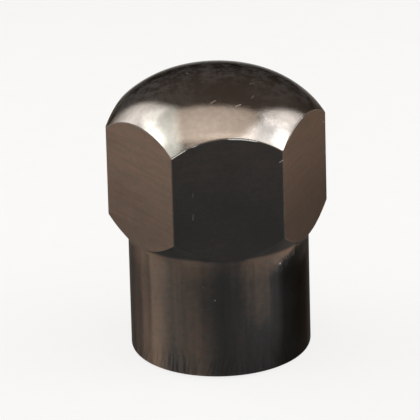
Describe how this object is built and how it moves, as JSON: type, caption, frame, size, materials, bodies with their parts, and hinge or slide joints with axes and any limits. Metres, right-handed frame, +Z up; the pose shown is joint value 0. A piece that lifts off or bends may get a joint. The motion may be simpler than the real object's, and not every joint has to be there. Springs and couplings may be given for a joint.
{
  "type": "tyre valve cap",
  "caption": "Domed hexagonal metal cap with a round threaded collar and a rubber seal inside, screwed on to a tyre valve stem to keep dirt out and hold air in.",
  "frame": {"origin": "centre of the mouth's rim, in the plane that the cap stands on", "axes": "+Z up the cap's axis, from the open mouth to the dome; -Y out of one flat of the hexagon"},
  "size_m": [0.0116, 0.01, 0.0153],
  "materials": {
    "nickel_plate": "satin",
    "seal_rubber": "matte"
  },
  "bodies": {
    "root": {"cap_body": "nickel_plate", "seal_washer": "seal_rubber"}
  },
  "joints": []
}
